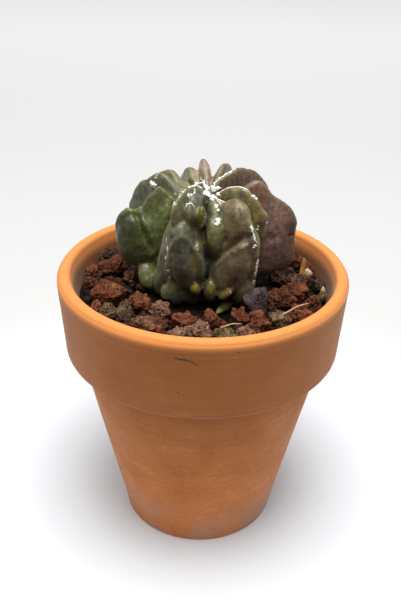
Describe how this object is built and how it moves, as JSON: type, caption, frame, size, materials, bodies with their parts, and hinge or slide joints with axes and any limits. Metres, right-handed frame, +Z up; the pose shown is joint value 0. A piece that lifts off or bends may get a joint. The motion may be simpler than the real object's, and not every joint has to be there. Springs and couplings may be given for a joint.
{
  "type": "potted bishop's cap cactus",
  "caption": "Squat bishop's cap cactus with deep, folded ribs and woolly areoles, standing in a terracotta clay pot topped with reddish lava gravel.",
  "frame": {"origin": "centre of the pot's foot, on the surface that the pot stands on", "axes": "+Z up along the pot's axis, -Y towards the plant's front, +X to the right seen from the front"},
  "size_m": [0.104, 0.104, 0.1378],
  "materials": {
    "terracotta": "unglazed, matt, fine-grained, slightly mottled",
    "soil": "dark crumbly potting soil, damp looking",
    "cactus_skin": "satin waxy skin, olive to grey-green, purple-brown at the right, yellow-green in the valleys",
    "lava": "matt, rough, full of small pores",
    "pumice": "matt olive-brown, rounded",
    "grey_rock": "matt purple-grey, fine pits",
    "grit": "smooth cream-coloured grains",
    "dry_plant": "dry fibrous splinter and stalks"
  },
  "bodies": {
    "root": {"cactus": "cactus_skin", "clay_pot": "terracotta", "dry_straw_01": "dry_plant", "dry_straw_02": "dry_plant", "grey_stone": "grey_rock", "lava_stone_01": "lava", "lava_stone_02": "lava", "lava_stone_03": "lava", "lava_stone_04": "lava", "lava_stone_05": "lava", "lava_stone_06": "lava", "lava_stone_07": "lava", "lava_stone_08": "lava", "lava_stone_09": "lava", "lava_stone_10": "lava", "lava_stone_11": "lava", "lava_stone_12": "lava", "lava_stone_13": "lava", "lava_stone_14": "lava", "lava_stone_15": "lava", "lava_stone_16": "lava", "lava_stone_17": "lava", "lava_stone_18": "lava", "lava_stone_19": "lava", "lava_stone_20": "lava", "lava_stone_21": "lava", "lava_stone_22": "lava", "lava_stone_23": "lava", "lava_stone_24": "lava", "lava_stone_25": "lava", "lava_stone_26": "lava", "lava_stone_27": "lava", "lava_stone_28": "lava", "lava_stone_29": "lava", "lava_stone_30": "lava", "lava_stone_31": "lava", "lava_stone_32": "lava", "lava_stone_33": "lava", "lava_stone_34": "lava", "lava_stone_35": "lava", "lava_stone_36": "lava", "lava_stone_37": "lava", "lava_stone_38": "lava", "lava_stone_39": "lava", "lava_stone_40": "lava", "lava_stone_41": "lava", "lava_stone_42": "lava", "lava_stone_43": "lava", "pale_grit_01": "grit", "pale_grit_02": "grit", "potting_soil": "soil", "pumice_stone_01": "pumice", "pumice_stone_02": "pumice", "pumice_stone_03": "pumice", "pumice_stone_04": "pumice", "pumice_stone_05": "pumice", "wood_chip": "dry_plant"}
  },
  "joints": []
}
